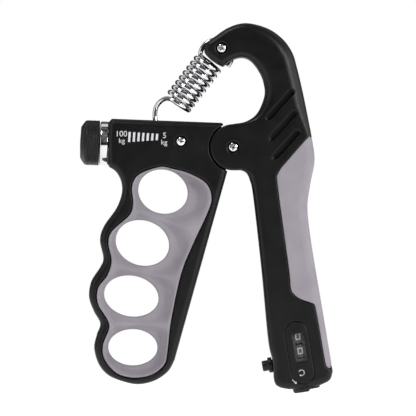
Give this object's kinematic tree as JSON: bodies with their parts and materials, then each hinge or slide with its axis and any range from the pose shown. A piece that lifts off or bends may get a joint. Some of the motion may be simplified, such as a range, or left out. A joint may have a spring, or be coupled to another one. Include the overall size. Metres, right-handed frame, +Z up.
{
  "type": "adjustable hand grip dynamometer",
  "caption": "Spring hand grip with a gooseneck palm handle, a ring finger handle hinged to it, a load-setting spindle knob and a repetition counter.",
  "frame": {"origin": "under the middle of the upright grip, on the floor plane", "axes": "+Z up along the handles with the gooseneck at the top, +X from the finger handle to the palm handle, the printed front faces -Y"},
  "size_m": [0.1136, 0.023, 0.1665],
  "materials": {
    "black_plastic": "satin moulded",
    "grip_rubber": "fine matt",
    "chrome": "polished",
    "steel": "zinc plated",
    "brass": "turned",
    "nylon": "moulded dark grey with printed numerals",
    "window": "clear smoked"
  },
  "bodies": {
    "palm_handle": {"palm_shell_front": "black_plastic", "palm_shell_back": "black_plastic", "palm_pad": "grip_rubber", "palm_back_screw_top": "steel", "palm_back_screw_middle": "steel", "palm_back_screw_bottom": "steel", "pivot_screw": "chrome", "pivot_nut": "steel", "hook_screw": "chrome", "hook_nut": "steel", "counter_bezel": "black_plastic", "counter_window": "window", "counter_frame": "steel", "button_bush": "black_plastic", "button_spring": "steel"},
    "finger_handle": {"finger_shell_front": "black_plastic", "finger_shell_back": "black_plastic", "finger_liner": "grip_rubber", "finger_back_screw": "steel", "head_screw": "chrome", "head_nut": "steel", "pivot_bush": "brass", "collar_sleeve": "chrome", "thrust_washer": "brass"},
    "knob": {"adjuster_knob": "black_plastic", "knob_cap": "black_plastic", "load_spindle": "steel"},
    "carriage": {"carriage_block": "steel", "carriage_pin": "chrome"},
    "spring_eye": {"spring_eye_bush": "steel", "spring_loop": "chrome"},
    "spring_top": {"spring_upper": "chrome"},
    "spring_mid": {"spring_middle": "chrome"},
    "spring_hook": {"spring_lower": "chrome"},
    "button": {"count_button": "black_plastic"},
    "units_wheel": {"digit_wheel_units": "nylon", "ratchet_wheel": "brass"},
    "tens_wheel": {"digit_wheel_tens": "nylon"},
    "reset": {"reset_knob": "black_plastic", "reset_shaft": "steel"}
  },
  "joints": [
    {"name": "squeeze", "type": "hinge", "parent": "palm_handle", "child": "finger_handle", "pos_m": [0.01215, 0, 0.1108], "axis": [0, -1, 0], "range_deg": [0, 22.5], "stiffness_Nm_per_rad": 4.5, "springref_deg": -6.88},
    {"name": "load_adjust", "type": "hinge", "parent": "finger_handle", "child": "knob", "pos_m": [-0.0522, 0, 0.1129], "axis": [-0.9993, 0, 0.0366], "range_deg": [0, 2881]},
    {"name": "carriage_travel", "type": "slide", "parent": "finger_handle", "child": "carriage", "axis": [-0.9993, 0, 0.0366], "range_m": [0, 0.0125]},
    {"name": "spring_swing_squeeze", "type": "hinge", "parent": "palm_handle", "child": "spring_eye", "pos_m": [0.00693, 0, 0.15525], "axis": [0, -1, 0], "range_deg": [0, 8.73]},
    {"name": "spring_swing_adjust", "type": "hinge", "parent": "spring_eye", "child": "spring_top", "pos_m": [0.0013, 0, 0.1491], "axis": [0, -1, 0], "range_deg": [-11.27, 0]},
    {"name": "spring_stretch_squeeze", "type": "slide", "parent": "spring_top", "child": "spring_mid", "axis": [-0.6068, 0, -0.7948], "range_m": [0, 0.0116], "deforming": ["spring_upper", "spring_middle"]},
    {"name": "spring_stretch_adjust", "type": "slide", "parent": "spring_mid", "child": "spring_hook", "axis": [-0.6068, 0, -0.7948], "range_m": [0, 0.00848], "deforming": ["spring_middle", "spring_lower"]},
    {"name": "count_press", "type": "slide", "parent": "palm_handle", "child": "button", "axis": [0.986, 0, 0.1668], "range_m": [0, 0.0022], "stiffness_N_per_m": 250, "springref_m": -0.0015, "deforming": ["button_spring"]},
    {"name": "units_count", "type": "hinge", "parent": "palm_handle", "child": "units_wheel", "pos_m": [0.04219, -0.004, 0.01936], "axis": [-0.1668, 0, 0.986], "continuous": true},
    {"name": "tens_count", "type": "hinge", "parent": "palm_handle", "child": "tens_wheel", "pos_m": [0.04111, -0.004, 0.02577], "axis": [-0.1668, 0, 0.986], "continuous": true},
    {"name": "reset_turn", "type": "hinge", "parent": "palm_handle", "child": "reset", "pos_m": [0.04505, -0.004, 0.0025], "axis": [-0.1668, 0, 0.986], "continuous": true}
  ],
  "couplings": [
    {"joint": "load_adjust", "follows": "carriage_travel", "rad_per_m": 4021.2},
    {"joint": "spring_swing_squeeze", "follows": "squeeze", "ratio": 0.38739},
    {"joint": "spring_swing_adjust", "follows": "carriage_travel", "rad_per_m": -15.709},
    {"joint": "spring_stretch_squeeze", "follows": "squeeze", "m_per_rad": 0.029486},
    {"joint": "spring_stretch_adjust", "follows": "carriage_travel", "ratio": 0.67683},
    {"joint": "tens_count", "follows": "units_count", "ratio": 0.1}
  ]
}
